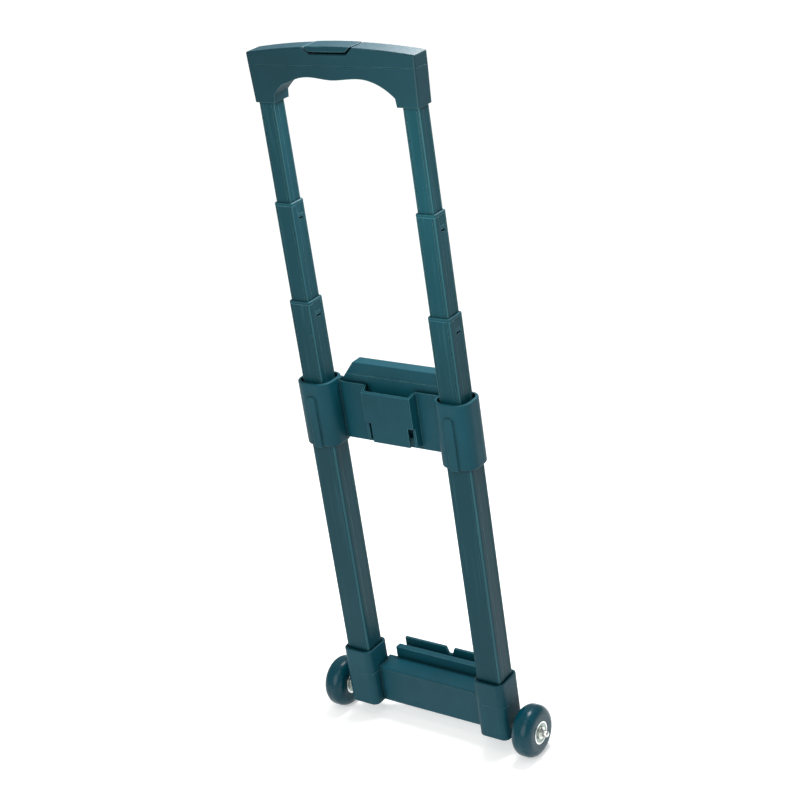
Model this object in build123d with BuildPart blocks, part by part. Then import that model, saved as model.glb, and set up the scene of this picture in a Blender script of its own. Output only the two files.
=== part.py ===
from build123d import *
import os

# Clip-on telescopic trolley frame for stackable tool cases.
# Millimetres. +Z up, X across the frame, -Y is the user's side and +Y the case's side.
# The frame can't stand on its two wheels alone: the case clipped to it holds it upright.
# The origin is in the docking channel, at the middle of its floor. While the pieces are
# drawn, heights are measured from the ground; save() lowers them to that origin.

# ---- driving dimensions -------------------------------------------------------------
rail_pitch = 150.0          # between the centres of the two columns
wheel_radius = 25.0
wheel_width = 21.2
wheel_x = 108.7             # middle of each wheel
bearing_bore_r = 4.0        # 608 bearings: 8 x 22 x 7
bearing_outer_r = 11.0
bearing_width = 7.0
dock_rear = 41.0            # rearmost edge, from the column centres
channel_middle = 31.0       # docking channel, from the column centres
rail_x = rail_pitch / 2
rail_y = -channel_middle
sides = (("left", -1), ("right", 1))

# Telescopic columns, from the fixed outer tube (4) to the handle's tube (1)
tube_width = {1: 16.6, 2: 19.5, 3: 22.6, 4: 26.8}
tube_depth = {1: 14.6, 2: 17.5, 3: 20.6, 4: 23.8}
tube_radius = {1: 1.5, 2: 1.7, 3: 1.9, 4: 3.6}
tube_wall = {1: 1.2, 2: 1.1, 3: 1.2, 4: 1.3}
tube_bottom = {1: 406.0, 2: 302.0, 3: 197.5, 4: 32.0}
tube_top = {1: 646.0, 2: 529.3, 3: 437.5, 4: 355.0}
collar_height = 3.0
groove_width = 1.1
groove_depth = 0.5
groove_inset = 2.4
band_depth = 0.3            # shallow band down each side face
band_share = 0.48           # of the tube's depth
band_shift = 1.4
slide_gap = 0.15            # collar to the tube that slides in it
window_width = 5.8
window_height = 5.2
window_drop = 14.0          # tube top to the window's lower edge
tongue_thickness = 0.3
plug_insert = 10.0
plug_flange = 3.0
plug_gap = 0.08
plug_bore_r = 2.6

# Handle
handle_low_half = 84.9      # the ends lean out a little towards the top
handle_mid_half = 86.3
handle_top_half = 86.6
handle_depth = 19.4
handle_bottom = 622.6
end_edge_r = 1.6            # upright edges at the handle's two ends
parting_z = 654.9
parting_gap = 0.4
handle_end_z = 666.0
handle_crown_z = 671.5
leg_inner_x = 63.4
arch_foot_x = 62.6
arch_foot_z = 630.0
arch_mid_x = 49.0
arch_mid_z = 639.8
arch_top_x = 32.0
arch_top_z = 644.9
grip_low_z = 643.5
channel_floor = 647.0
channel_half_depth = 3.4
channel_half_length = 79.0
button_travel = 1.5
button_play = 0.3
recess_floor_z = 665.4
recess_low_half = 19.0
recess_top_half = 25.8
recess_chamfer = 1.2
recess_corner_r = 1.4
button_corner_r = 2.6
button_gap = 1.85           # along X, so that the sloping ends clear as it goes down
stem_half_length = 15.0     # the button's stem, down to the yoke
stem_half_depth = 5.0
stem_gap = 0.4
spring_x = 56.5
spring_floor = 640.0
yoke_bottom = 651.6
yoke_height = 3.4
yoke_half_depth = 2.9
yoke_half_length = 78.0
rod_radius = 2.0
rod_bottom = 410.0
handle_screw_x = 40.0
handle_screw_y = 6.1
handle_screw_seat = 648.5

# Middle bracket
sleeve_width = 37.0
sleeve_depth = 32.0
sleeve_radius = 12.0
sleeve_bottom = 299.2
sleeve_top = 362.3
rib_width = 9.6             # rounded rib up the front of each sleeve
rib_bottom = 294.5          # its lower round end is trimmed off with the sleeve
rib_top = 350.0
rib_proud = 1.8
plate_front = 4.5
plate_back = 7.5
plate_bottom = 302.8
plate_top = 358.9
pocket_front = -4.0
pocket_half = 26.3
pocket_back_half = 29.4
pocket_bottom = 306.5
pocket_top = 355.0
pocket_wall = 2.0
tongue_half = 20.0          # the front wall narrows to a tongue below the notches
notch_height = 19.0
hook_front = 7.8
hook_back = 11.2
hook_top = 378.3
hook_reach = 20.0           # rear edge of the hook's flange
hook_top_left = 40.0        # the hook's left corner is cut back further than its right
hook_top_right = 52.0
hook_low_half = 55.7
hook_shoulder = 358.9
hook_bottom = 312.0
hook_travel = 8.0
cover_front = 11.5
cover_back = 14.0

# Base
socket_width = 32.0
socket_depth = 32.0
socket_radius = 6.5
socket_bottom = 16.6
socket_top = 77.0
base_split = 52.0
beam_front = -3.0
beam_back = 19.5
beam_bottom = 17.4
deck_top = 55.0
base_wall = 2.6
axle_z = wheel_radius
axle_fit = 0.02
dock_half = 53.0
dock_floor = 52.0
front_rail_top = 66.0
front_rail_reach = 26.0
back_rail_front = 36.0
back_rail_back = 38.5
back_rail_top = 67.5
notch_top_half = 5.2
notch_low_half = 2.3
notch_z = 60.5


# ---- placing ------------------------------------------------------------------------
def level(z, x=0.0):
    """Horizontal plane at height z on the columns' centre line."""
    return Plane((x, rail_y, z))


def facing(y):
    """Upright plane facing the user, at y from the columns' centre line."""
    return Plane((0, rail_y + y, 0), x_dir=(1, 0, 0), z_dir=(0, -1, 0))


def across(x, z=0.0):
    """Upright plane facing +X, with its origin on the columns' centre line."""
    return Plane((x, rail_y, z), x_dir=(0, 1, 0), z_dir=(1, 0, 0))


def save(built, name):
    """Moves a finished piece to the docking channel's origin, names it and writes its file."""
    piece = Pos(0, 0, -dock_floor) * built.part
    piece.label = name
    export_step(piece, f"parts/{name}.step")


def slab(x0, x1, y0, y1, z0, z1, mode=Mode.ADD):
    """Adds or cuts a block between two corners, y from the columns' centre line."""
    with Locations(((x0 + x1) / 2, rail_y + (y0 + y1) / 2, (z0 + z1) / 2)):
        Box(x1 - x0, y1 - y0, z1 - z0, mode=mode)


def inner_size(stage):
    """Width and depth of the space inside a column tube."""
    width = tube_width[stage] - 2 * tube_wall[stage]
    depth = tube_depth[stage] - 2 * tube_wall[stage]
    return width, depth


def inner_radius(stage):
    """Corner radius of the space inside a column tube."""
    return max(tube_radius[stage] - tube_wall[stage], 0.4)


def spring(radius, wire, start, end, turns):
    """Round-wire compression spring along Z between two points."""
    height = end[2] - start[2] - wire
    with BuildPart() as coil:
        with BuildLine(Plane((start[0], start[1], start[2] + wire / 2))) as path:
            Helix(pitch=height / turns, height=height, radius=radius)
        with BuildSketch(Plane(path.line @ 0, z_dir=path.line % 0)):
            Circle(wire / 2)
        sweep(is_frenet=True)
    return coil.part


# ---- telescopic columns -------------------------------------------------------------
def column_tube(stage, side):
    """Extruded tube with grooves beside its corners and a shallow band on each side."""
    width, depth = tube_width[stage], tube_depth[stage]
    inner_w, inner_d = inner_size(stage)
    with BuildPart() as tube:
        with BuildSketch(level(tube_bottom[stage], side * rail_x)):
            RectangleRounded(width, depth, tube_radius[stage])
            RectangleRounded(inner_w, inner_d, inner_radius(stage), mode=Mode.SUBTRACT)
            groove_x = width / 2 - groove_inset
            with GridLocations(2 * groove_x, depth, 2, 2):
                Rectangle(groove_width, 2 * groove_depth, mode=Mode.SUBTRACT)
            with Locations((-width / 2, band_shift), (width / 2, band_shift)):
                Rectangle(2 * band_depth, band_share * depth, mode=Mode.SUBTRACT)
        extrude(amount=tube_top[stage] - tube_bottom[stage])
        if stage in (2, 3):
            low = tube_top[stage] - window_drop
            with BuildSketch(across(side * rail_x)):
                with Locations((band_shift, low + window_height / 2)):
                    Rectangle(window_width, window_height)
            extrude(amount=width, both=True, mode=Mode.SUBTRACT)
    return tube


def collar(stage, side):
    """Plastic collar on a tube's top end, with a snap tongue in each side window."""
    width, depth = tube_width[stage], tube_depth[stage]
    inner_w, inner_d = inner_size(stage)
    slider_w = tube_width[stage - 1] + 2 * slide_gap
    slider_d = tube_depth[stage - 1] + 2 * slide_gap
    low = tube_top[stage]
    with BuildPart() as ring:
        with BuildSketch(level(low, side * rail_x)):
            RectangleRounded(width, depth, tube_radius[stage])
        extrude(amount=collar_height)
        top = ring.faces().sort_by(Axis.Z)[-1]
        chamfer(top.edges(), 0.6)
        with BuildSketch(level(low, side * rail_x)):
            RectangleRounded(slider_w, slider_d, tube_radius[stage - 1])
        extrude(amount=collar_height, mode=Mode.SUBTRACT)
        if stage < 4:
            tongue_w = window_width - 0.6
            head_low = low - window_drop + 2.0
            head_high = low - window_drop + window_height - 0.15
            y0 = band_shift - tongue_w / 2
            y1 = band_shift + tongue_w / 2
            for hand in (-1, 1):
                wall_in = side * rail_x + hand * inner_w / 2
                wall_out = side * rail_x + hand * (width / 2 - band_depth)
                tip = wall_in - hand * tongue_thickness
                slab(min(wall_in, tip), max(wall_in, tip), y0, y1, head_low, low + 1.0)
                slab(min(wall_out, tip), max(wall_out, tip), y0, y1, head_low, head_high)
    return ring


def plug(stage, side):
    """Lower end plug: an insert in its own tube and a shoe that runs in the next one."""
    insert_w, insert_d = inner_size(stage)
    shoe_w, shoe_d = inner_size(stage + 1)
    low = tube_bottom[stage]
    with BuildPart() as end:
        with BuildSketch(level(low - plug_flange, side * rail_x)):
            RectangleRounded(shoe_w - 2 * plug_gap, shoe_d - 2 * plug_gap, inner_radius(stage + 1))
        extrude(amount=plug_flange)
        with BuildSketch(level(low, side * rail_x)):
            RectangleRounded(insert_w, insert_d, inner_radius(stage))
        extrude(amount=plug_insert)
        chamfer(end.faces().sort_by(Axis.Z)[-1].edges(), 0.3)
        with BuildSketch(level(low - plug_flange, side * rail_x)):
            Circle(plug_bore_r)
        extrude(amount=plug_flange + plug_insert, mode=Mode.SUBTRACT)
    return end


# ---- wheels -------------------------------------------------------------------------
def ring_about_axle(x0, x1, inner_r, outer_r, edge=0.0):
    """Turned ring on the axle's centre line, with its outer corners rounded."""
    with BuildPart() as ring:
        with BuildSketch(Plane((0, rail_y, axle_z), x_dir=(1, 0, 0), z_dir=(0, -1, 0))) as cut:
            with Locations(((x0 + x1) / 2, (inner_r + outer_r) / 2)):
                Rectangle(x1 - x0, outer_r - inner_r)
            if edge:
                fillet(cut.vertices().group_by(Axis.Y)[-1], edge)
        revolve(axis=Axis((0, rail_y, axle_z), (1, 0, 0)))
    return ring.part


def bearing_ends(side):
    """Both bearings of a wheel as pairs of low and high x, the outboard one last."""
    half = wheel_width / 2
    inboard = (wheel_x - half + 0.3, wheel_x - half + 0.3 + bearing_width)
    outboard = (wheel_x + half - 0.3 - bearing_width, wheel_x + half - 0.3)
    return [tuple(sorted((side * a, side * b))) for a, b in (inboard, outboard)]


def screw(head_r, head_h, shank_r, length):
    """Pan-head screw along Z with its head above the origin and a cross recess."""
    with BuildPart() as made:
        Cylinder(head_r, head_h, align=(Align.CENTER, Align.CENTER, Align.MIN))
        fillet(made.edges().filter_by(GeomType.CIRCLE).sort_by(Axis.Z)[-1], 0.7 * head_h)
        Cylinder(shank_r, length, align=(Align.CENTER, Align.CENTER, Align.MAX))
        with Locations((0, 0, head_h)):
            Box(1.3 * head_r, 0.5, 1.2, mode=Mode.SUBTRACT)
            Box(0.5, 1.3 * head_r, 1.2, mode=Mode.SUBTRACT)
    return made.part


def screws_at(made, points, direction):
    """Copies of a screw at points given from the columns' centre line, heads one way."""
    with BuildPart() as group:
        for x, y, z in points:
            with Locations(Plane((x, rail_y + y, z), z_dir=direction)):
                add(made)
    return group


os.makedirs("parts", exist_ok=True)

# ---- columns ------------------------------------------------------------------------
for hand, side in sides:
    for stage in (1, 2, 3):
        save(column_tube(stage, side), f"stage{stage}_tube_{hand}")
        save(plug(stage, side), f"stage{stage}_plug_{hand}")
    save(column_tube(4, side), f"outer_tube_{hand}")
    save(collar(2, side), f"stage2_collar_{hand}")
    save(collar(3, side), f"stage3_collar_{hand}")
    save(collar(4, side), f"outer_bush_{hand}")

# ---- wheels, bearings and stub axles ------------------------------------------------
tyre_low = wheel_x - wheel_width / 2
tyre_high = wheel_x + wheel_width / 2
axle_inner = rail_x - socket_width / 2 + 4.0
shoulder_low = rail_x + socket_width / 2
shoulder_high = shoulder_low + 2.0
clip_low = tyre_high - 0.3
clip_width = 1.0
clip_outer_r = 5.8
clip_mouth = 3.0            # the clip's open side, upwards
clip_root_z = 1.6           # the mouth starts this far above the axle's centre
axle_tip = 127.0
neck_r = 3.2
ball_r = 1.65
ball_circle_r = 7.7
race_inner_r = 6.0
race_outer_r = 9.4

for hand, side in sides:
    inboard, outboard = bearing_ends(side)
    gap_low = tyre_low + 0.3 + bearing_width
    gap_high = tyre_high - 0.3 - bearing_width
    gap_ends = sorted((side * gap_low, side * gap_high))

    with BuildPart() as tyre:
        ends = sorted((side * tyre_low, side * tyre_high))
        add(ring_about_axle(ends[0], ends[1], bearing_outer_r, wheel_radius, edge=8.6))
        add(ring_about_axle(gap_ends[0], gap_ends[1], race_outer_r, bearing_outer_r + 1.0))
    save(tyre, f"tyre_{hand}")

    with BuildPart() as outer_races:
        for low, high in (inboard, outboard):
            add(ring_about_axle(low, high, race_outer_r, bearing_outer_r))
    save(outer_races, f"bearing_outer_races_{hand}")

    with BuildPart() as inner_races:
        for low, high in (inboard, outboard):
            add(ring_about_axle(low, high, bearing_bore_r, race_inner_r))
    save(inner_races, f"bearing_inner_races_{hand}")

    with BuildPart() as shields:
        for low, high in (inboard, outboard):
            add(ring_about_axle(low + 0.4, low + 0.7, race_inner_r + 0.35, race_outer_r))
            add(ring_about_axle(high - 0.7, high - 0.4, race_inner_r + 0.35, race_outer_r))
    save(shields, f"bearing_shields_{hand}")

    with BuildPart() as balls:
        for low, high in (inboard, outboard):
            with Locations(Plane(((low + high) / 2, rail_y, axle_z), z_dir=(1, 0, 0))):
                with PolarLocations(ball_circle_r, 7):
                    Sphere(ball_r)
    save(balls, f"bearing_balls_{hand}")

    with BuildPart() as axle:
        ends = sorted((side * axle_inner, side * clip_low))
        with Locations(Plane((ends[0], rail_y, axle_z), z_dir=(1, 0, 0))):
            Cylinder(bearing_bore_r, ends[1] - ends[0], align=(Align.CENTER, Align.CENTER, Align.MIN))
        neck_end = axle_tip - neck_r
        with Locations(Plane((side * clip_low, rail_y, axle_z), z_dir=(side, 0, 0))):
            Cylinder(neck_r, neck_end - clip_low, align=(Align.CENTER, Align.CENTER, Align.MIN))
        with Locations((side * neck_end, rail_y, axle_z)):
            Sphere(neck_r)
        add(ring_about_axle(*sorted((side * shoulder_low, side * shoulder_high)), 3.0, 6.5))
    save(axle, f"axle_{hand}")

    with BuildPart() as spacers:
        add(ring_about_axle(*sorted((side * shoulder_high, side * (tyre_low + 0.3))), bearing_bore_r, 5.6))
        add(ring_about_axle(gap_ends[0], gap_ends[1], bearing_bore_r, 5.4))
    save(spacers, f"axle_spacers_{hand}")

    with BuildPart() as clip:
        ends = sorted((side * clip_low, side * (clip_low + clip_width)))
        add(ring_about_axle(ends[0], ends[1], neck_r, clip_outer_r))
        with Locations((side * clip_low, rail_y, axle_z + clip_outer_r)):
            Box(4 * clip_width, clip_mouth, 2 * (clip_outer_r - clip_root_z), mode=Mode.SUBTRACT)
    save(clip, f"axle_clip_{hand}")

# ---- base ---------------------------------------------------------------------------
bore_w = tube_width[4] + 0.1
bore_d = tube_depth[4] + 0.1
bore_r = tube_radius[4] + 0.05
beam_half = rail_x - socket_width / 2 + 3.0
hollow_half = rail_x - socket_width / 2 - base_wall
base_screw_x = 46.0
base_screw_y = 8.2
dock_screws_x = (-38.0, 38.0)
dock_screws_z = (31.0, 43.0)

with BuildPart() as base_lower:
    with BuildSketch(level(socket_bottom)):
        with Locations((-rail_x, 0), (rail_x, 0)):
            RectangleRounded(socket_width, socket_depth, socket_radius)
    extrude(amount=base_split - socket_bottom)
    fillet(base_lower.faces().group_by(Axis.Z)[0].edges(), 1.2)
    slab(-beam_half, beam_half, beam_front, beam_back, beam_bottom, base_split)
    slab(-hollow_half, hollow_half, beam_front + base_wall, beam_back - base_wall,
         beam_bottom + base_wall, base_split, mode=Mode.SUBTRACT)
    for rib_x in (-28.0, 0.0, 28.0):
        slab(rib_x - 1.0, rib_x + 1.0, beam_front + 1.0, beam_back - 1.0, beam_bottom + 1.0, base_split - 1.0)
    for boss_x in (-base_screw_x, base_screw_x):
        with Locations((boss_x, rail_y + base_screw_y, beam_bottom + 1.0)):
            Cylinder(3.6, base_split - beam_bottom - 1.0, align=(Align.CENTER, Align.CENTER, Align.MIN))
    with BuildSketch(level(tube_bottom[4])):
        with Locations((-rail_x, 0), (rail_x, 0)):
            RectangleRounded(bore_w, bore_d, bore_r)
    extrude(amount=base_split - tube_bottom[4], mode=Mode.SUBTRACT)
    for side in (-1, 1):
        with Locations(Plane((side * axle_inner, rail_y, axle_z), z_dir=(side, 0, 0))):
            Cylinder(bearing_bore_r + axle_fit, socket_width, align=(Align.CENTER, Align.CENTER, Align.MIN),
                     mode=Mode.SUBTRACT)
        with Locations((side * base_screw_x, rail_y + base_screw_y, beam_bottom)):
            Cylinder(1.45, base_split, align=(Align.CENTER, Align.CENTER, Align.MIN), mode=Mode.SUBTRACT)
            Cylinder(3.0, 2.2, align=(Align.CENTER, Align.CENTER, Align.MIN), mode=Mode.SUBTRACT)
    for x in dock_screws_x:
        for z in dock_screws_z:
            with Locations(Plane((x, rail_y + beam_back - base_wall - 1, z), z_dir=(0, 1, 0))):
                Cylinder(1.45, base_wall + 2, align=(Align.CENTER, Align.CENTER, Align.MIN),
                         mode=Mode.SUBTRACT)
save(base_lower, "base_lower")

with BuildPart() as base_upper:
    with BuildSketch(level(base_split)):
        with Locations((-rail_x, 0), (rail_x, 0)):
            RectangleRounded(socket_width, socket_depth, socket_radius)
    extrude(amount=socket_top - base_split)
    fillet(base_upper.faces().group_by(Axis.Z)[-1].edges(), 0.9)
    slab(-beam_half, beam_half, beam_front, beam_back, base_split, deck_top)
    long_edges = base_upper.edges().filter_by(Axis.X)
    deck_edges = long_edges.filter_by_position(Axis.Z, deck_top - 0.1, deck_top + 0.1)
    fillet(deck_edges.sort_by(Axis.Y)[0], 1.8)
    for boss_x in (-base_screw_x, base_screw_x):
        with Locations((boss_x, rail_y + base_screw_y, base_split)):
            Cylinder(1.2, 2.0, align=(Align.CENTER, Align.CENTER, Align.MIN), mode=Mode.SUBTRACT)
    with BuildSketch(level(base_split)):
        with Locations((-rail_x, 0), (rail_x, 0)):
            RectangleRounded(bore_w, bore_d, bore_r)
    extrude(amount=socket_top - base_split, mode=Mode.SUBTRACT)
    with BuildSketch(level(socket_top - 3.0)):
        with Locations((-rail_x, 0), (rail_x, 0)):
            RectangleRounded(bore_w + 2.0, bore_d + 2.0, bore_r + 1.0)
    extrude(amount=3.0, mode=Mode.SUBTRACT)
    seam = base_upper.faces().sort_by(Axis.Z)[0].outer_wire().edges()
    chamfer(seam, 0.35)
save(base_upper, "base_upper")

with BuildPart() as docking_rail:
    slab(-dock_half, dock_half, beam_back, beam_back + 2.5, 24.0, front_rail_top)
    slab(-dock_half, dock_half, beam_back, front_rail_reach, front_rail_top - 2.5, front_rail_top)
    slab(-dock_half, dock_half, beam_back, dock_rear, dock_floor - 3.0, dock_floor)
    slab(-dock_half, dock_half, back_rail_front, back_rail_back, dock_floor - 1.0, back_rail_top)
    for rib_x in (-46.0, 0.0, 46.0):
        with BuildSketch(across(rib_x - 1.5)):
            Polygon((beam_back + 1, 27.0), (dock_rear, dock_floor - 2),
                    (beam_back + 1, dock_floor - 2), align=None)
        extrude(amount=3.0)
    with BuildSketch(facing(back_rail_back + 1)):
        Polygon((-notch_top_half, back_rail_top + 1), (notch_top_half, back_rail_top + 1),
                (notch_low_half, notch_z), (-notch_low_half, notch_z), align=None)
    extrude(amount=back_rail_back - back_rail_front + 2, mode=Mode.SUBTRACT)
    for x in dock_screws_x:
        for z in dock_screws_z:
            with Locations(Plane((x, rail_y + beam_back - 1, z), z_dir=(0, 1, 0))):
                Cylinder(1.6, 5, align=(Align.CENTER, Align.CENTER, Align.MIN), mode=Mode.SUBTRACT)
save(docking_rail, "docking_rail")

dock_points = [(x, beam_back + 2.5, z) for x in dock_screws_x for z in dock_screws_z]
save(screws_at(screw(3.0, 1.8, 1.4, 7.0), dock_points, (0, 1, 0)), "dock_screws")

base_points = [(x, base_screw_y, beam_bottom + 2.2) for x in (-base_screw_x, base_screw_x)]
save(screws_at(screw(2.8, 1.6, 1.4, 32.0), base_points, (0, 0, -1)), "base_screws")

# ---- middle bracket -----------------------------------------------------------------
web_low = hook_low_half + 0.4
web_high = web_low + 10.0
ledge_top = hook_bottom - 0.1
spring_boss_x = 38.0
spring_boss_low = 340.0
spring_slot_low = 318.0
cover_half = 58.0
guide_boss = (48.0, 335.0)      # passes through a slot in the hook
guide_boss_r = 3.0
guide_slot_gap = 0.4
bracket_screw_spots = [(side * x, z) for side in (-1, 1) for x, z in (guide_boss, (51.0, 307.6))]

with BuildPart() as middle_bracket:
    with BuildSketch(level(sleeve_bottom)):
        with Locations((-rail_x, 0), (rail_x, 0)):
            RectangleRounded(sleeve_width, sleeve_depth, sleeve_radius)
    extrude(amount=sleeve_top - sleeve_bottom)
    fillet(middle_bracket.faces().group_by(Axis.Z)[-1].edges(), 1.0)
    fillet(middle_bracket.faces().group_by(Axis.Z)[0].edges(), 1.6)
    for side in (-1, 1):
        with BuildPart(mode=Mode.PRIVATE) as rib:
            with BuildSketch(facing(-sleeve_depth / 2)):
                with Locations((side * rail_x, (rib_top + rib_bottom) / 2)):
                    RectangleRounded(rib_width, rib_top - rib_bottom, rib_width / 2 - 0.01)
            extrude(amount=rib_proud)
            extrude(rib.faces().sort_by(Axis.Y)[-1], amount=2.0)
            fillet(rib.faces().sort_by(Axis.Y)[0].edges(), 1.3)
        add(rib.part)
    slab(-rail_x - sleeve_width, rail_x + sleeve_width, -sleeve_depth, sleeve_depth,
         rib_bottom - 1.0, sleeve_bottom, mode=Mode.SUBTRACT)
    slab(-web_high, web_high, plate_front, plate_back, plate_bottom, plate_top)
    for side in (-1, 1):
        ends = sorted((side * web_low, side * web_high))
        slab(ends[0], ends[1], plate_front, cover_front, plate_bottom, plate_top + 2.2)
        ends = sorted((side * 45.0, side * web_high))
        slab(ends[0], ends[1], plate_front, cover_front, plate_bottom + 2.0, ledge_top)
        boss = side * spring_boss_x
        slab(boss - 2.5, boss + 2.5, plate_front, hook_back, spring_boss_low, spring_boss_low + 4.0)
    with BuildSketch(level(pocket_bottom)):
        Polygon((-pocket_back_half, plate_back), (-pocket_half, pocket_front),
                (pocket_half, pocket_front), (pocket_back_half, plate_back), align=None)
    extrude(amount=plate_top - pocket_bottom)
    with BuildSketch(level(pocket_bottom - 1)):
        Polygon((-pocket_back_half + pocket_wall, plate_back + 1),
                (-pocket_half + pocket_wall, pocket_front + pocket_wall),
                (pocket_half - pocket_wall, pocket_front + pocket_wall),
                (pocket_back_half - pocket_wall, plate_back + 1), align=None)
    extrude(amount=plate_top, mode=Mode.SUBTRACT)
    slab(-pocket_back_half, pocket_back_half, plate_front, plate_back, plate_bottom, ledge_top)
    with BuildSketch(across(-pocket_back_half - 1)):
        Polygon((plate_front, plate_top), (pocket_front - 1, pocket_top - 0.4),
                (pocket_front - 1, plate_top + 1), (plate_front, plate_top + 1), align=None)
    extrude(amount=2 * (pocket_back_half + 1), mode=Mode.SUBTRACT)
    for side in (-1, 1):
        ends = sorted((side * tongue_half, side * (pocket_half + 1)))
        slab(ends[0], ends[1], pocket_front - 1, pocket_front + pocket_wall + 0.2, pocket_bottom - 1,
             pocket_bottom + notch_height, mode=Mode.SUBTRACT)
    with BuildSketch(level(sleeve_bottom)):
        with Locations((-rail_x, 0), (rail_x, 0)):
            RectangleRounded(bore_w, bore_d, bore_r)
    extrude(amount=sleeve_top - sleeve_bottom, mode=Mode.SUBTRACT)
    with BuildSketch(level(tube_top[4])):
        with Locations((-rail_x, 0), (rail_x, 0)):
            RectangleRounded(sleeve_width - 5.4, sleeve_depth - 4.6, sleeve_radius - 2.6)
    extrude(amount=sleeve_top - tube_top[4], mode=Mode.SUBTRACT)
    for side in (-1, 1):
        with Locations(Plane((side * guide_boss[0], rail_y + plate_front, guide_boss[1]), z_dir=(0, 1, 0))):
            Cylinder(guide_boss_r, cover_front - plate_front, align=(Align.CENTER, Align.CENTER, Align.MIN))
    for x, z in bracket_screw_spots:
        with Locations(Plane((x, rail_y + plate_front + 1, z), z_dir=(0, 1, 0))):
            Cylinder(1.25, 20, align=(Align.CENTER, Align.CENTER, Align.MIN), mode=Mode.SUBTRACT)
save(middle_bracket, "middle_bracket")

with BuildPart() as bracket_cover:
    slab(-cover_half, cover_half, cover_front, cover_back, plate_bottom + 1, 352.0)
    fillet(bracket_cover.edges().filter_by(Axis.Y), 3.0)
    chamfer(bracket_cover.faces().sort_by(Axis.Y)[-1].edges(), 0.6)
    for x, z in bracket_screw_spots:
        with Locations(Plane((x, rail_y + cover_front - 1, z), z_dir=(0, 1, 0))):
            Cylinder(1.5, 5, align=(Align.CENTER, Align.CENTER, Align.MIN), mode=Mode.SUBTRACT)
save(bracket_cover, "bracket_cover")

cover_points = [(x, cover_back, z) for x, z in bracket_screw_spots]
save(screws_at(screw(2.6, 1.6, 1.2, 8.0), cover_points, (0, 1, 0)), "bracket_screws")

with BuildPart() as case_hook:
    with BuildSketch(facing(hook_back)):
        Polygon((-hook_low_half, hook_bottom), (hook_low_half, hook_bottom),
                (hook_low_half, hook_shoulder), (hook_top_right, hook_top),
                (-hook_top_left, hook_top), (-hook_low_half, hook_shoulder), align=None)
    extrude(amount=hook_back - hook_front)
    slab(-hook_top_left, hook_top_right, hook_front, hook_reach, hook_top - 2.6, hook_top)
    slab(-hook_top_left + 1, hook_top_right - 1, hook_reach - 2.0, hook_reach, hook_top - 4.6, hook_top - 2.0)
    slab(-60, 60, hook_front - 1, hook_front + 0.4, 366.0, 366.6, mode=Mode.SUBTRACT)
    for side in (-1, 1):
        slot = side * spring_boss_x
        slab(slot - 3.2, slot + 3.2, hook_front - 1, hook_back + 1, spring_slot_low, 345.5,
             mode=Mode.SUBTRACT)
        reach = guide_boss_r + guide_slot_gap
        slab(side * guide_boss[0] - reach, side * guide_boss[0] + reach, hook_front - 1, hook_back + 1,
             guide_boss[1] - reach - hook_travel, guide_boss[1] + reach, mode=Mode.SUBTRACT)
    rear_top = case_hook.edges().filter_by(Axis.X).group_by(Axis.Z)[-1]
    fillet(rear_top, 0.6)
save(case_hook, "case_hook")

spring_y = rail_y + (hook_front + hook_back) / 2
with BuildPart() as hook_springs:
    for side in (-1, 1):
        x = side * spring_boss_x
        add(spring(1.25, 0.5, (x, spring_y, spring_slot_low), (x, spring_y, spring_boss_low), 9))
save(hook_springs, "hook_springs")

# ---- handle and release -------------------------------------------------------------
lower_top = parting_z - parting_gap / 2
upper_low = parting_z + parting_gap / 2
button_lip_z = recess_floor_z + button_travel + button_play
recess_slope = (recess_top_half - recess_low_half) / (handle_crown_z - recess_floor_z)
button_low_half = recess_low_half - button_gap + recess_slope * (button_lip_z - recess_floor_z)
button_end_z = handle_crown_z - 0.2
button_top_half = recess_top_half - button_gap - recess_slope * (handle_crown_z - button_end_z)

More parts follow.
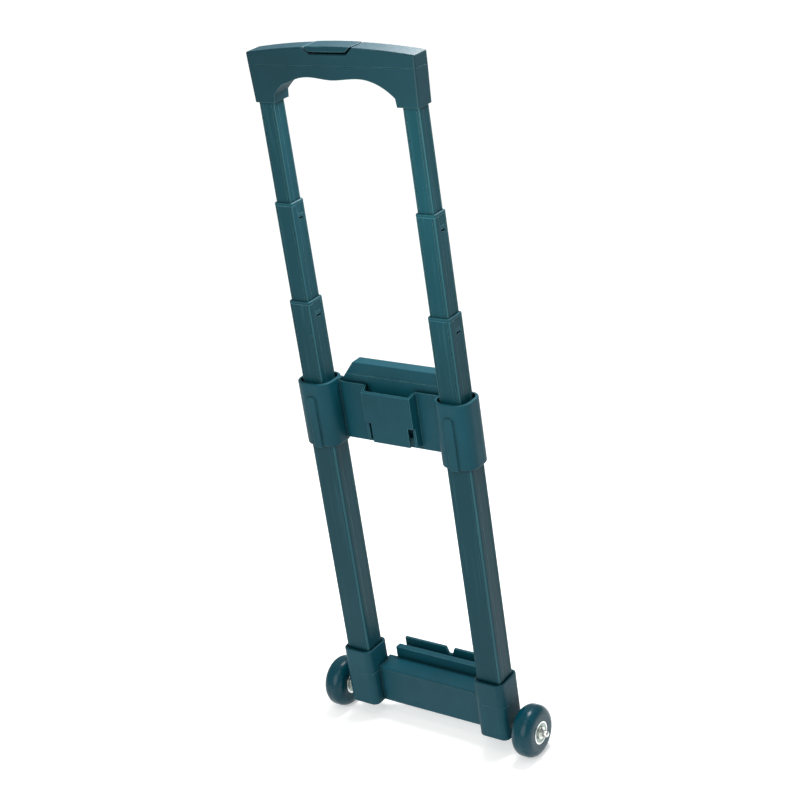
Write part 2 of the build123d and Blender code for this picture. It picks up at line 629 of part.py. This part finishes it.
with BuildPart() as handle_lower:
    with BuildSketch(facing(0)):
        with BuildLine():
            Polyline((-arch_foot_x, arch_foot_z), (-leg_inner_x, handle_bottom),
                     (-handle_low_half, handle_bottom), (-handle_mid_half, lower_top),
                     (handle_mid_half, lower_top), (handle_low_half, handle_bottom),
                     (leg_inner_x, handle_bottom), (arch_foot_x, arch_foot_z))
            Spline((arch_foot_x, arch_foot_z), (arch_mid_x, arch_mid_z), (arch_top_x, arch_top_z),
                   (0, grip_low_z), (-arch_top_x, arch_top_z), (-arch_mid_x, arch_mid_z),
                   (-arch_foot_x, arch_foot_z), tangents=((-0.72, 0.7), (-0.72, -0.7)))
        make_face()
    extrude(amount=handle_depth / 2, both=True)
    end_faces = handle_lower.faces().sort_by(Axis.X)
    for end_face in (end_faces[0], end_faces[-1]):
        upright = [e for e in end_face.edges() if abs(e.tangent_at(0.5).Z) > 0.9]
        fillet(upright, end_edge_r)
    slab(-handle_mid_half + 1.4, handle_mid_half - 1.4, -handle_depth / 2 + 1.4, handle_depth / 2 - 1.4,
         lower_top - 0.5, upper_low)
    slab(-channel_half_length, channel_half_length, -channel_half_depth, channel_half_depth,
         channel_floor, upper_low, mode=Mode.SUBTRACT)
    with BuildSketch(level(handle_bottom)):
        with Locations((-rail_x, 0), (rail_x, 0)):
            RectangleRounded(tube_width[1] + 0.1, tube_depth[1] + 0.1, tube_radius[1])
    extrude(amount=tube_top[1] - handle_bottom, mode=Mode.SUBTRACT)
    for side in (-1, 1):
        with Locations((side * rail_x, rail_y, tube_top[1] - 1)):
            Cylinder(2.8, 3, align=(Align.CENTER, Align.CENTER, Align.MIN), mode=Mode.SUBTRACT)
        with Locations((side * spring_x, rail_y, spring_floor)):
            Cylinder(2.9, 10, align=(Align.CENTER, Align.CENTER, Align.MIN), mode=Mode.SUBTRACT)
        for row in (-1, 1):
            with Locations((side * handle_screw_x, rail_y + row * handle_screw_y, handle_bottom)):
                Cylinder(1.45, 40, align=(Align.CENTER, Align.CENTER, Align.MIN), mode=Mode.SUBTRACT)
                Cylinder(2.3, handle_screw_seat - handle_bottom,
                         align=(Align.CENTER, Align.CENTER, Align.MIN), mode=Mode.SUBTRACT)
save(handle_lower, "handle_lower")

recess_open_z = handle_crown_z + 2
recess_open_half = recess_top_half + 2 * recess_slope
with BuildSketch() as recess:
    with BuildLine():
        FilletPolyline((-recess_open_half, recess_open_z), (-recess_low_half, recess_floor_z),
                       (recess_low_half, recess_floor_z), (recess_open_half, recess_open_z),
                       radius=recess_corner_r)
        Line((recess_open_half, recess_open_z), (-recess_open_half, recess_open_z))
    make_face()

with BuildPart() as handle_upper:
    with BuildSketch(facing(0)):
        with BuildLine():
            Polyline((-handle_top_half, handle_end_z), (-handle_mid_half, upper_low),
                     (handle_mid_half, upper_low), (handle_top_half, handle_end_z))
            ThreePointArc((handle_top_half, handle_end_z), (0, handle_crown_z),
                          (-handle_top_half, handle_end_z))
        make_face()
    extrude(amount=handle_depth / 2, both=True)
    end_faces = handle_upper.faces().sort_by(Axis.X)
    for end_face in (end_faces[0], end_faces[-1]):
        upright = [e for e in end_face.edges() if abs(e.tangent_at(0.5).Z) > 0.9]
        fillet(upright, end_edge_r)
    top = handle_upper.faces().sort_by(Axis.Z)[-1]
    fillet(top.edges(), 1.3)
    with BuildSketch(facing(0)):
        add(recess.sketch)
    extrude(amount=handle_depth, both=True, mode=Mode.SUBTRACT)
    for outward in (-1, 1):
        start = outward * (handle_depth / 2 - recess_chamfer)
        rim_plane = Plane((0, rail_y + start, 0), x_dir=(-outward, 0, 0), z_dir=(0, outward, 0))
        with BuildSketch(rim_plane):
            add(recess.sketch)
        extrude(amount=recess_chamfer + 0.1, taper=-45, mode=Mode.SUBTRACT)
    stem_reach = stem_half_length + stem_gap
    stem_side = stem_half_depth + stem_gap
    slab(-stem_reach, stem_reach, -stem_side, stem_side, upper_low, handle_crown_z, mode=Mode.SUBTRACT)
    for side in (-1, 1):
        for row in (-1, 1):
            with Locations((side * handle_screw_x, rail_y + row * handle_screw_y, upper_low)):
                Cylinder(1.2, 7.5, align=(Align.CENTER, Align.CENTER, Align.MIN), mode=Mode.SUBTRACT)
save(handle_upper, "handle_upper")

handle_points = [(x, y, handle_screw_seat) for x in (-handle_screw_x, handle_screw_x)
                 for y in (-handle_screw_y, handle_screw_y)]
save(screws_at(screw(2.1, 1.6, 1.15, 13.5), handle_points, (0, 0, -1)), "handle_screws")

with BuildPart() as release_button:
    with BuildSketch(facing(0)):
        with BuildLine():
            FilletPolyline((-button_top_half, button_end_z), (-button_low_half, button_lip_z),
                           (button_low_half, button_lip_z), (button_top_half, button_end_z),
                           radius=button_corner_r)
            ThreePointArc((button_top_half, button_end_z), (0, handle_crown_z + 0.3),
                          (-button_top_half, button_end_z))
        make_face()
    extrude(amount=handle_depth / 2, both=True)
    fillet(release_button.edges().group_by(Axis.Z)[-1], 0.7)
    stem_neck = yoke_bottom + yoke_height + button_travel + 1.2
    slab(-stem_half_length, stem_half_length, -stem_half_depth, stem_half_depth, stem_neck,
         button_lip_z + 1.0)
    slab(-stem_half_length, stem_half_length, -yoke_half_depth, yoke_half_depth,
         yoke_bottom + yoke_height, stem_neck + 1.0)
save(release_button, "release_button")

with BuildPart() as release_yoke:
    slab(-yoke_half_length, yoke_half_length, -yoke_half_depth, yoke_half_depth, yoke_bottom,
         yoke_bottom + yoke_height)
    fillet(release_yoke.edges().filter_by(Axis.Z), 1.5)
save(release_yoke, "release_yoke")

for hand, side in sides:
    with BuildPart() as rod:
        with Locations((side * rail_x, rail_y, rod_bottom)):
            Cylinder(rod_radius, yoke_bottom - rod_bottom, align=(Align.CENTER, Align.CENTER, Align.MIN))
        chamfer(rod.edges().filter_by(GeomType.CIRCLE).sort_by(Axis.Z)[0], 0.6)
    save(rod, f"release_rod_{hand}")

with BuildPart() as release_springs:
    for side in (-1, 1):
        start = (side * spring_x, rail_y, spring_floor)
        end = (side * spring_x, rail_y, yoke_bottom)
        add(spring(2.2, 0.6, start, end, 5))
save(release_springs, "release_springs")
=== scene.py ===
import math

import bpy
from mathutils import Matrix, Vector


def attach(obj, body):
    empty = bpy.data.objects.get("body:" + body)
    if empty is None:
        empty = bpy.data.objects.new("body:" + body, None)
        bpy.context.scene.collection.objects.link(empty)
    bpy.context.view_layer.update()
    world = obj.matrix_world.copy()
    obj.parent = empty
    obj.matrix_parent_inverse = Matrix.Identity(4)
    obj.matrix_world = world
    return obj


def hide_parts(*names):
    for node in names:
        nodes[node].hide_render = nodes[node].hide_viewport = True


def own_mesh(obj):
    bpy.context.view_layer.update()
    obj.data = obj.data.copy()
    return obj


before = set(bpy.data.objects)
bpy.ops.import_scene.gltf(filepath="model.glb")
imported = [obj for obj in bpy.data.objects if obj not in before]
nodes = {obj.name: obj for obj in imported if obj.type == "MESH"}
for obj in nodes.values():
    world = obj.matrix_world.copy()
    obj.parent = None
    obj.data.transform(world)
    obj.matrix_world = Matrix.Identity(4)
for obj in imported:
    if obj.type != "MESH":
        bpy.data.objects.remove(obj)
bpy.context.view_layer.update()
scene = bpy.context.scene

# Camera, placed round the point it looks at: metres, with lens and sensor in millimetres
CAMERA_TARGET = Vector((0.01366, -0.031, 0.29945))
CAMERA_AZIMUTH = math.radians(38.1)
CAMERA_ELEVATION = math.radians(23.71)
CAMERA_ROLL = math.radians(8.69)
CAMERA_DISTANCE = 1.55908
CAMERA_LENS = 79.1
SENSOR_WIDTH = 36.0

FLOOR_SIZE = 80.0
FLOOR_Z = -0.052        # the ground, below the origin in the docking channel
FLOOR_COLOUR = (0.88, 0.88, 0.88, 1.0)
FLOOR_ROUGHNESS = 0.9
FLOOR_SPECULAR = 0.1
FLOOR_GLOW = 0.34       # lifts the floor to white and softens the shadows on it
GLOW_COLOUR = (1.0, 1.0, 1.0, 1.0)

SKY_COLOUR = (0.96, 0.98, 1.0, 1.0)
SKY_STRENGTH = 0.45

# Suns: name, direction towards it, strength, width in degrees and colour
SUNS = (("overhead", (-0.15, 0.35, 1.0), 0.3, 80.0, (1.0, 1.0, 1.0)),
        ("key", (0.08, -0.8, 0.45), 1.75, 50.0, (1.0, 1.0, 0.96)),
        ("side", (0.9, 0.35, 0.4), 0.1, 50.0, (0.65, 0.88, 1.0)))

# Square area lights: name, place, the point it faces, side in metres, watts and colour
PANELS = (("top", (0.06, 0.2, 0.85), (0.0, -0.03, 0.61), 0.35, 9.0, (1.0, 1.0, 1.0)),
          ("gleam", (0.16, -0.27, 0.52), (0.08, -0.03, 0.56), 0.12, 0.9, (0.96, 1.0, 0.88)))

BEVEL_SAMPLES = 4
OCCLUSION_SAMPLES = 6
COAT_ROUGHNESS = 0.12


def linear(red, green, blue):
    """Linear RGBA of a colour given as 0-255 display values."""
    def one(value):
        value /= 255
        return value / 12.92 if value <= 0.04045 else ((value + 0.055) / 1.055) ** 2.4
    return (one(red), one(green), one(blue), 1.0)


def dimmed(colour, share):
    """The colour with only a share of its brightness left."""
    return tuple(share * c for c in colour[:3]) + (1.0,)


# ---- materials ----------------------------------------------------------------------
class Graph:
    """A material's node tree, with short calls that add and join its nodes."""

    def __init__(self, name):
        self.material = bpy.data.materials.new(name)
        self.material.use_nodes = True
        self.tree = self.material.node_tree
        self.shader = self.tree.nodes["Principled BSDF"]
        self.place = self.add("ShaderNodeTexCoord").outputs["Object"]

    def add(self, kind, **settings):
        node = self.tree.nodes.new(kind)
        for key, value in settings.items():
            setattr(node, key, value)
        return node

    def join(self, start, end):
        self.tree.links.new(start, end)

    def stretched(self, scale):
        """The object's own coordinates, scaled apart along each axis."""
        node = self.add("ShaderNodeMapping")
        node.inputs["Scale"].default_value = scale
        self.join(self.place, node.inputs["Vector"])
        return node.outputs["Vector"]

    def noise(self, scale, detail=3.0, roughness=0.5, vector=None):
        node = self.add("ShaderNodeTexNoise")
        node.inputs["Scale"].default_value = scale
        node.inputs["Detail"].default_value = detail
        node.inputs["Roughness"].default_value = roughness
        self.join(vector or self.place, node.inputs["Vector"])
        return node.outputs["Fac"]

    def spots(self, scale):
        """Distance to the nearest cell centre, for a moulded skin's pits."""
        node = self.add("ShaderNodeTexVoronoi")
        node.inputs["Scale"].default_value = scale
        self.join(self.place, node.inputs["Vector"])
        return node.outputs["Distance"]

    def remap(self, value, low, high, out_low=0.0, out_high=1.0):
        node = self.add("ShaderNodeMapRange")
        for key, number in (("From Min", low), ("From Max", high),
                            ("To Min", out_low), ("To Max", out_high)):
            node.inputs[key].default_value = number
        self.join(value, node.inputs["Value"])
        return node.outputs["Result"]

    def times(self, first, second):
        node = self.add("ShaderNodeMath", operation="MULTIPLY", use_clamp=True)
        self.join(first, node.inputs[0])
        if isinstance(second, float):
            node.inputs[1].default_value = second
        else:
            self.join(second, node.inputs[1])
        return node.outputs[0]

    def plus(self, first, second):
        node = self.add("ShaderNodeMath", operation="ADD", use_clamp=True)
        self.join(first, node.inputs[0])
        self.join(second, node.inputs[1])
        return node.outputs[0]

    def mixed(self, factor, first, second):
        """A colour between two; each is a colour or another node's output."""
        node = self.add("ShaderNodeMix", data_type="RGBA")
        self.join(factor, node.inputs["Factor"])
        for value, socket in ((first, node.inputs[6]), (second, node.inputs[7])):
            if isinstance(value, tuple):
                socket.default_value = value
            else:
                self.join(value, socket)
        return node.outputs[2]

    def rounded(self, radius):
        """The surface direction with sharp edges eased over a small radius."""
        node = self.add("ShaderNodeBevel", samples=BEVEL_SAMPLES)
        node.inputs["Radius"].default_value = radius
        return node.outputs["Normal"]

    def edges(self, eased, low=0.02, high=0.3):
        """A mask that is 1 along sharp edges and 0 on flat faces."""
        shape = self.add("ShaderNodeNewGeometry")
        dot = self.add("ShaderNodeVectorMath", operation="DOT_PRODUCT")
        self.join(eased, dot.inputs[0])
        self.join(shape.outputs["Normal"], dot.inputs[1])
        return self.remap(dot.outputs["Value"], 1.0 - low, 1.0 - high)

    def corners(self, low=0.7, high=1.0):
        """A mask that is 1 along an upright's rounded corners and 0 on its four sides, for
        a painted highlight along the corners.
        """
        shape = self.add("ShaderNodeNewGeometry")
        split = self.add("ShaderNodeSeparateXYZ")
        self.join(shape.outputs["Normal"], split.inputs[0])
        product = self.add("ShaderNodeMath", operation="MULTIPLY")
        self.join(split.outputs["X"], product.inputs[0])
        self.join(split.outputs["Y"], product.inputs[1])
        size = self.add("ShaderNodeMath", operation="ABSOLUTE")
        self.join(product.outputs[0], size.inputs[0])
        return self.remap(size.outputs[0], low / 2, high / 2)

    def painted_shade(self, colour, reach=0.006, depth=0.22):
        """The colour with painted shade: darker in grooves and corners, where shadow
        gathers.
        """
        node = self.add("ShaderNodeAmbientOcclusion", samples=OCCLUSION_SAMPLES)
        node.inputs["Distance"].default_value = reach
        painted_shade_factor = self.remap(node.outputs["AO"], 0.35, 0.95, depth, 1.0)
        mix = self.add("ShaderNodeMix", data_type="RGBA", blend_type="MULTIPLY")
        mix.inputs["Factor"].default_value = 1.0
        self.join(colour, mix.inputs[6])
        self.join(painted_shade_factor, mix.inputs[7])
        return mix.outputs[2]

    def bump(self, height, distance, strength, normal):
        node = self.add("ShaderNodeBump")
        node.inputs["Distance"].default_value = distance
        node.inputs["Strength"].default_value = strength
        self.join(height, node.inputs["Height"])
        self.join(normal, node.inputs["Normal"])
        return node.outputs["Normal"]

    def finish(self, colour, roughness, normal, metallic=0.0, specular=0.5, coat=0.0):
        shader = self.shader
        self.join(colour, shader.inputs["Base Color"])
        self.join(roughness, shader.inputs["Roughness"])
        self.join(normal, shader.inputs["Normal"])
        shader.inputs["Metallic"].default_value = metallic
        shader.inputs["Specular IOR Level"].default_value = specular
        if coat:
            shader.inputs["Coat Weight"].default_value = coat
            shader.inputs["Coat Roughness"].default_value = COAT_ROUGHNESS
        return self.material


def moulded_plastic(name, base, abrasion_and_highlight_colour, rough=0.46, grain=2600.0, depth=0.00006,
                    specular=0.15, abrasion_and_highlight_strength=0.75, ease=0.0007):
    """Injection-moulded plastic: spark-eroded grain, flow marks, whitish edges that are
    partly abrasion and partly painted highlight, and painted shade in grooves and corners.
    """
    g = Graph(name)
    eased = g.rounded(ease)
    clouds = g.noise(16.0, detail=4.0, roughness=0.6)
    flow = g.noise(60.0, detail=3.0, vector=g.stretched((1.0, 1.0, 0.35)))
    tint = g.mixed(g.remap(clouds, 0.3, 0.7), base, dimmed(base, 0.76))
    scuffs = g.remap(g.noise(240.0, detail=5.0, roughness=0.7,
                             vector=g.stretched((1.0, 0.5, 0.25))), 0.60, 0.78)
    # Whitish edges are partly abrasion, partly painted highlight; the whitish scuffs are
    # abrasion
    abrasion_and_edge_highlight = g.plus(g.times(g.edges(eased), g.remap(g.noise(90.0), 0.25, 0.6, 0.4, 1.0)),
                    g.times(scuffs, 0.06))
    # Painted shade: the colour is darkened in grooves and corners
    colour = g.painted_shade(g.mixed(g.times(abrasion_and_edge_highlight, abrasion_and_highlight_strength), tint, abrasion_and_highlight_colour))
    roughness = g.remap(g.plus(g.times(flow, 0.6), g.times(clouds, 0.4)), 0.3, 0.7,
                        rough - 0.05, rough + 0.07)
    pits = g.spots(grain)
    fine = g.noise(grain * 0.6, detail=2.0)
    skin = g.plus(g.times(pits, 0.6), g.times(fine, 0.4))
    normal = g.bump(skin, depth, 0.5, normal=eased)
    return g.finish(colour, roughness, normal, specular=specular)


def painted_tube(name, base, abrasion_and_highlight_colour, rough=0.42):
    """Powder-painted extrusion: die lines along it, fine orange peel, slide marks, whitish
    edges that are partly abrasion and partly painted highlight, a painted highlight along
    the corners, and painted shade in grooves.
    """
    g = Graph(name)
    eased = g.rounded(0.0004)
    lines = g.noise(1.0, detail=4.0, roughness=0.6, vector=g.stretched((900.0, 900.0, 3.0)))
    rubs = g.remap(g.noise(1.0, detail=3.0, vector=g.stretched((500.0, 500.0, 12.0))),
                   0.58, 0.74)
    clouds = g.noise(9.0, detail=3.0)
    tint = g.mixed(g.remap(clouds, 0.3, 0.7), base, dimmed(base, 0.85))
    # Whitish edges are partly abrasion, partly painted highlight; the corners get a painted
    # highlight; slide marks are abrasion
    abrasion_and_highlight = g.plus(g.plus(g.times(g.edges(eased), 0.8), g.times(g.corners(), 0.12)),
                  g.times(rubs, 0.05))
    # Painted shade: the colour is darkened in grooves and corners
    colour = g.painted_shade(g.mixed(abrasion_and_highlight, tint, abrasion_and_highlight_colour), reach=0.004)
    roughness = g.remap(lines, 0.3, 0.7, rough - 0.06, rough + 0.08)
    peel = g.noise(1400.0, detail=2.0)
    height = g.plus(g.times(lines, 0.5), g.times(peel, 0.5))
    normal = g.bump(height, 0.00005, 0.4, normal=eased)
    return g.finish(colour, roughness, normal, specular=0.13)


def moulded_tyre(name, base, abrasion_and_highlight_colour):
    """Cast urethane: glossy, faintly mottled, with dust scuffs and whitish edges that are
    partly abrasion and partly painted highlight.
    """
    g = Graph(name)
    eased = g.rounded(0.0004)
    clouds = g.noise(45.0, detail=4.0)
    scuffs = g.remap(g.noise(420.0, detail=5.0, roughness=0.75), 0.56, 0.72)
    tint = g.mixed(g.remap(clouds, 0.3, 0.7), base, dimmed(base, 0.8))
    # Whitish edges are partly abrasion, partly painted highlight; the scuffs are dust
    abrasion_and_highlight = g.plus(g.times(scuffs, 0.04), g.times(g.edges(eased), 0.2))
    colour = g.mixed(abrasion_and_highlight, tint, abrasion_and_highlight_colour)
    roughness = g.remap(g.plus(g.times(clouds, 0.5), g.times(scuffs, 0.5)), 0.1, 0.8,
                        0.22, 0.42)
    normal = g.bump(g.noise(1200.0, detail=3.0), 0.00004, 0.35, normal=eased)
    return g.finish(colour, roughness, normal, specular=0.18, coat=0.05)


def turned_steel(name, base, dark, rough, along=(1.0, 1.0, 1.0), fine=1500.0):
    """Machined or rolled steel: tool marks, a little staining, clean edges."""
    g = Graph(name)
    eased = g.rounded(0.0002)
    marks = g.noise(fine, detail=3.0, vector=g.stretched(along))
    stain = g.noise(180.0, detail=5.0, roughness=0.65)
    colour = g.mixed(g.remap(stain, 0.42, 0.75), base, dark)
    roughness = g.remap(marks, 0.3, 0.7, rough - 0.06, rough + 0.1)
    normal = g.bump(marks, 0.00003, 0.4, normal=eased)
    return g.finish(colour, roughness, normal, metallic=1.0)


TEAL = linear(7, 61, 73)
TEAL_DEEP = linear(4, 56, 69)
TEAL_TUBE = linear(7, 54, 64)
TEAL_TYRE = linear(0, 54, 66)
# Whitish teal for abrasion, and for painted highlights on edges and corners
PALE_TEAL_ABRASION_AND_HIGHLIGHT = linear(108, 168, 180)
TEAL_GRIP = linear(7, 48, 58)
STEEL = linear(205, 208, 206)
STEEL_DARK = linear(120, 126, 124)

finishes = {
    "tube_alloy": painted_tube("tube_alloy", TEAL_TUBE, PALE_TEAL_ABRASION_AND_HIGHLIGHT),
    "collar_plastic": moulded_plastic("collar_plastic", TEAL, PALE_TEAL_ABRASION_AND_HIGHLIGHT, rough=0.4,
                                      grain=3600.0),
    "plug_plastic": moulded_plastic("plug_plastic", TEAL_DEEP, PALE_TEAL_ABRASION_AND_HIGHLIGHT, rough=0.5),
    "tyre_urethane": moulded_tyre("tyre_urethane", TEAL_TYRE, PALE_TEAL_ABRASION_AND_HIGHLIGHT),
    "bearing_steel": turned_steel("bearing_steel", linear(232, 235, 232), STEEL, 0.3),
    "bearing_shield": turned_steel("bearing_shield", linear(150, 165, 158),
                                   linear(95, 110, 106), 0.38),
    "axle_steel": turned_steel("axle_steel", linear(214, 216, 212), STEEL_DARK, 0.26),
    "screw_steel": turned_steel("screw_steel", linear(165, 168, 168), STEEL_DARK, 0.34),
    "spring_steel": turned_steel("spring_steel", linear(150, 152, 152), STEEL_DARK, 0.34),
    "rod_steel": turned_steel("rod_steel", linear(185, 188, 188), STEEL_DARK, 0.3,
                              along=(1.0, 1.0, 0.05)),
    "grip_plastic": moulded_plastic("grip_plastic", TEAL_GRIP, PALE_TEAL_ABRASION_AND_HIGHLIGHT, rough=0.5,
                                    grain=1900.0, depth=0.00010, specular=0.16, abrasion_and_highlight_strength=0.4,
                                    ease=0.0008),
    "button_plastic": moulded_plastic("button_plastic", TEAL_GRIP, PALE_TEAL_ABRASION_AND_HIGHLIGHT, rough=0.44,
                                      grain=2200.0, depth=0.00008),
    "housing_plastic": moulded_plastic("housing_plastic", TEAL, PALE_TEAL_ABRASION_AND_HIGHLIGHT, rough=0.46),
}

# Each piece arrives with a material that is named after its slot
for piece in nodes.values():
    slot = piece.data.materials[0].name if piece.data.materials else None
    if slot in finishes:
        for spot in piece.material_slots:
            spot.link = "OBJECT"
            spot.material = finishes[slot]

# Spring coils, copied onto the body that carries them: node, body, joint, height of the
# fixed end in metres, and the share of the length that is left at the joint's limit
SPRINGS = (("release_springs", "grip", "release_press", 0.588, 0.86),
           ("hook_springs", "frame", "case_hook_lift", 0.288, 0.63))
for name, body, joint, fixed_end, share in SPRINGS:
    coils = bpy.data.objects.new(name + "_coils", nodes[name].data.copy())
    coils.data.materials.clear()
    coils.data.materials.append(finishes["spring_steel"])
    scene.collection.objects.link(coils)
    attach(coils, body)
    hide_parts(name)
    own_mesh(coils)

# ---- floor, light and camera --------------------------------------------------------
floor_mesh = bpy.data.meshes.new("floor")
half = FLOOR_SIZE / 2
floor_corners = ((-half, -half), (half, -half), (half, half), (-half, half))
floor_mesh.from_pydata([(x, y, FLOOR_Z) for x, y in floor_corners], [], [(0, 1, 2, 3)])
floor = bpy.data.objects.new("floor", floor_mesh)
scene.collection.objects.link(floor)
paper = bpy.data.materials.new("floor")
paper.use_nodes = True
paper_shader = paper.node_tree.nodes["Principled BSDF"]
paper_shader.inputs["Base Color"].default_value = FLOOR_COLOUR
paper_shader.inputs["Roughness"].default_value = FLOOR_ROUGHNESS
paper_shader.inputs["Specular IOR Level"].default_value = FLOOR_SPECULAR
paper_shader.inputs["Emission Color"].default_value = GLOW_COLOUR
paper_shader.inputs["Emission Strength"].default_value = FLOOR_GLOW
floor_mesh.materials.append(paper)

world = bpy.data.worlds.new("studio")
scene.world = world
world.use_nodes = True
sky = world.node_tree.nodes["Background"]
sky.inputs["Color"].default_value = SKY_COLOUR
sky.inputs["Strength"].default_value = SKY_STRENGTH


def soft_sun(name, toward, strength, width, colour):
    data = bpy.data.lights.new(name, "SUN")
    data.energy = strength
    data.angle = math.radians(width)
    data.color = colour
    lamp = bpy.data.objects.new(name, data)
    scene.collection.objects.link(lamp)
    lamp.rotation_euler = Vector(toward).to_track_quat("Z", "Y").to_euler()


def soft_panel(name, place, aim, side, power, colour):
    data = bpy.data.lights.new(name, "AREA")
    data.shape = "RECTANGLE"
    data.size = side
    data.size_y = side
    data.energy = power
    data.color = colour
    lamp = bpy.data.objects.new(name, data)
    scene.collection.objects.link(lamp)
    lamp.location = place
    lamp.visible_camera = False
    lamp.rotation_euler = (Vector(aim) - Vector(place)).to_track_quat("-Z", "Y").to_euler()


for sun in SUNS:
    soft_sun(*sun)
for panel in PANELS:
    soft_panel(*panel)

# The camera's own axes: back is towards it from its target, right and up are rolled
back = Vector((math.sin(CAMERA_AZIMUTH) * math.cos(CAMERA_ELEVATION),
               -math.cos(CAMERA_AZIMUTH) * math.cos(CAMERA_ELEVATION),
               math.sin(CAMERA_ELEVATION)))
level_right = Vector((math.cos(CAMERA_AZIMUTH), math.sin(CAMERA_AZIMUTH), 0.0))
level_up = back.cross(level_right)
right = math.cos(CAMERA_ROLL) * level_right - math.sin(CAMERA_ROLL) * level_up
up = math.sin(CAMERA_ROLL) * level_right + math.cos(CAMERA_ROLL) * level_up
camera_data = bpy.data.cameras.new("camera")
camera_data.sensor_width = SENSOR_WIDTH
camera_data.lens = CAMERA_LENS
camera = bpy.data.objects.new("camera", camera_data)
scene.collection.objects.link(camera)
turn = Matrix((right, up, back)).transposed().to_4x4()
camera.matrix_world = Matrix.Translation(CAMERA_TARGET + back * CAMERA_DISTANCE) @ turn
scene.camera = camera
scene.view_settings.view_transform = "Standard"
